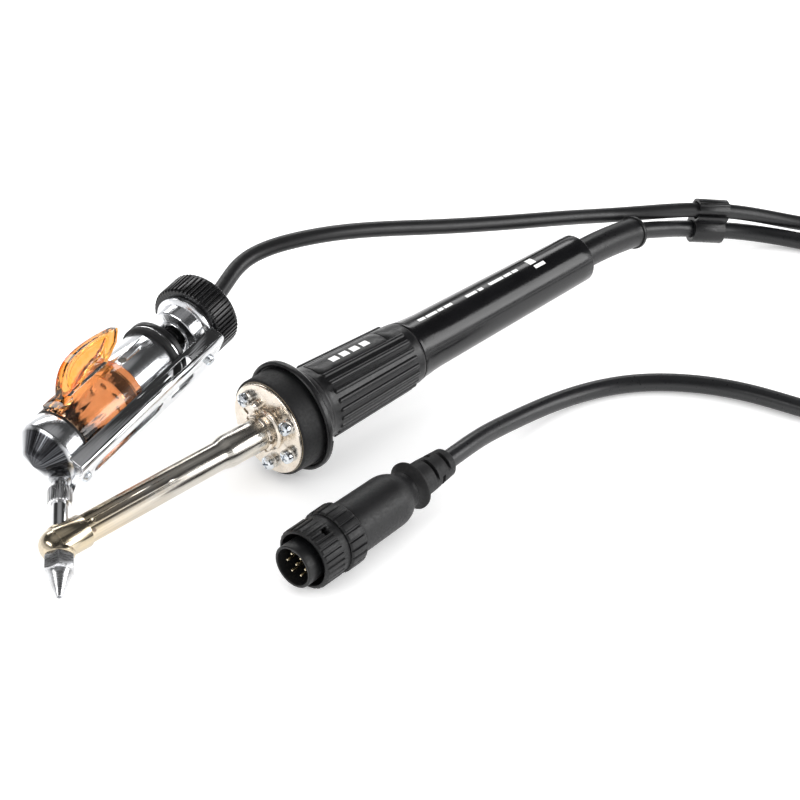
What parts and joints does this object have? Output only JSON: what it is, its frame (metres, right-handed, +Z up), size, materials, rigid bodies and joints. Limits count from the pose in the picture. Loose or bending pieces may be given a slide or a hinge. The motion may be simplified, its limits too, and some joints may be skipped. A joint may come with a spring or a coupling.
{
  "type": "desoldering pump",
  "caption": "Heated vacuum desoldering iron with side solder collector, amber guard, ribbed grip, hose, lead and round multi-pin plug.",
  "frame": {"origin": "middle of the footprint, on the bench", "axes": "+X along the handle from the nozzle end to the lead, +Z up from the bench, +Y across the handle to the side the collector leans to"},
  "size_m": [0.3426, 0.1832, 0.0508],
  "materials": {
    "nickel_plate": "satin nickel plate",
    "mica": "matte",
    "zinc_screw": "bright zinc",
    "heat_tinted_steel": "polished, straw heat tint",
    "ceramic": "matte",
    "steel": "polished",
    "wire_sleeve": "matte",
    "black_rubber": "matte",
    "black_plastic": "satin",
    "gloss_handle": "semi-gloss",
    "pale_plastic": "matte",
    "brass": "turned",
    "tip_plating": "plated",
    "chrome": "polished",
    "glass": "clear",
    "felt": "felt",
    "amber": "clear amber",
    "bright_sheet": "bright folded sheet",
    "cable_jacket": "satin",
    "hose_rubber": "satin",
    "plug_plastic": "fine grain",
    "gold_pin": "gold plate"
  },
  "bodies": {
    "tool": {"front_plate": "nickel_plate", "heat_shield": "mica", "plate_screws": "zinc_screw", "barrel_clamp": "nickel_plate", "barrel": "heat_tinted_steel", "heating_element": "ceramic", "temperature_sensor": "steel", "heater_wires": "wire_sleeve", "front_collar": "black_rubber", "hand_guard": "black_plastic", "grip_sleeve": "black_plastic", "handle_tube": "gloss_handle", "terminal_block": "pale_plastic", "terminal_screws": "brass", "lead_wires": "wire_sleeve", "cable_clamp": "black_plastic", "rear_boot": "black_plastic", "heater_head": "heat_tinted_steel", "suction_tube": "steel", "front_cap": "chrome", "cap_seal": "black_rubber", "glass_tube": "glass", "baffle_plate": "steel", "filter_sleeve": "chrome", "filter_pad": "felt", "rear_housing": "chrome", "hose_nipple": "brass", "bracket": "bright_sheet", "bracket_screws": "zinc_screw", "cable": "cable_jacket", "vacuum_hose": "hose_rubber", "hose_cuff": "black_rubber", "cable_clip": "black_plastic", "plug_shell": "plug_plastic", "plug_insert": "plug_plastic", "plug_pins": "gold_pin", "plug_rear_ring": "plug_plastic", "plug_backshell": "plug_plastic", "plug_cord_grip": "pale_plastic", "plug_strain_relief": "black_rubber"},
    "nozzle": {"nozzle": "tip_plating"},
    "gland_nut": {"clamp_nut": "steel"},
    "amber_guard": {"heat_guard": "amber"},
    "knob": {"knurled_knob": "black_plastic"},
    "plunger": {"seal_plunger": "black_plastic", "drive_pin": "steel", "seal_washer": "steel", "rear_seal": "black_rubber"},
    "lock_ring": {"coupling_ring": "plug_plastic"}
  },
  "joints": [
    {"name": "nozzle_turn", "type": "hinge", "parent": "tool", "child": "nozzle", "pos_m": [-0.16023, 0.04027, 0.0178], "axis": [0.606, 0.7144, 0.35], "range_deg": [0, 360]},
    {"name": "gland_nut_turn", "type": "hinge", "parent": "tool", "child": "gland_nut", "pos_m": [-0.15114, 0.05099, 0.02305], "axis": [0.606, 0.7144, 0.35], "range_deg": [0, 360]},
    {"name": "guard_turn", "type": "hinge", "parent": "tool", "child": "amber_guard", "pos_m": [-0.12713, 0.06724, 0.03101], "axis": [0.9703, 0.2173, 0.1064], "range_deg": [-145, 55]},
    {"name": "knob_turn", "type": "hinge", "parent": "tool", "child": "knob", "pos_m": [-0.07571, 0.07875, 0.03665], "axis": [0.9703, 0.2173, 0.1064], "range_deg": [0, 540]},
    {"name": "plunger_slide", "type": "slide", "parent": "tool", "child": "plunger", "axis": [0.9703, 0.2173, 0.1064], "range_m": [0, 0.00226]},
    {"name": "lock_ring_turn", "type": "hinge", "parent": "tool", "child": "lock_ring", "pos_m": [-0.10685, -0.00482, 0.0101], "axis": [0.9977, 0.068, 0], "range_deg": [0, 60]}
  ],
  "couplings": [
    {"joint": "plunger_slide", "follows": "knob_turn", "m_per_rad": 0.00023873}
  ]
}
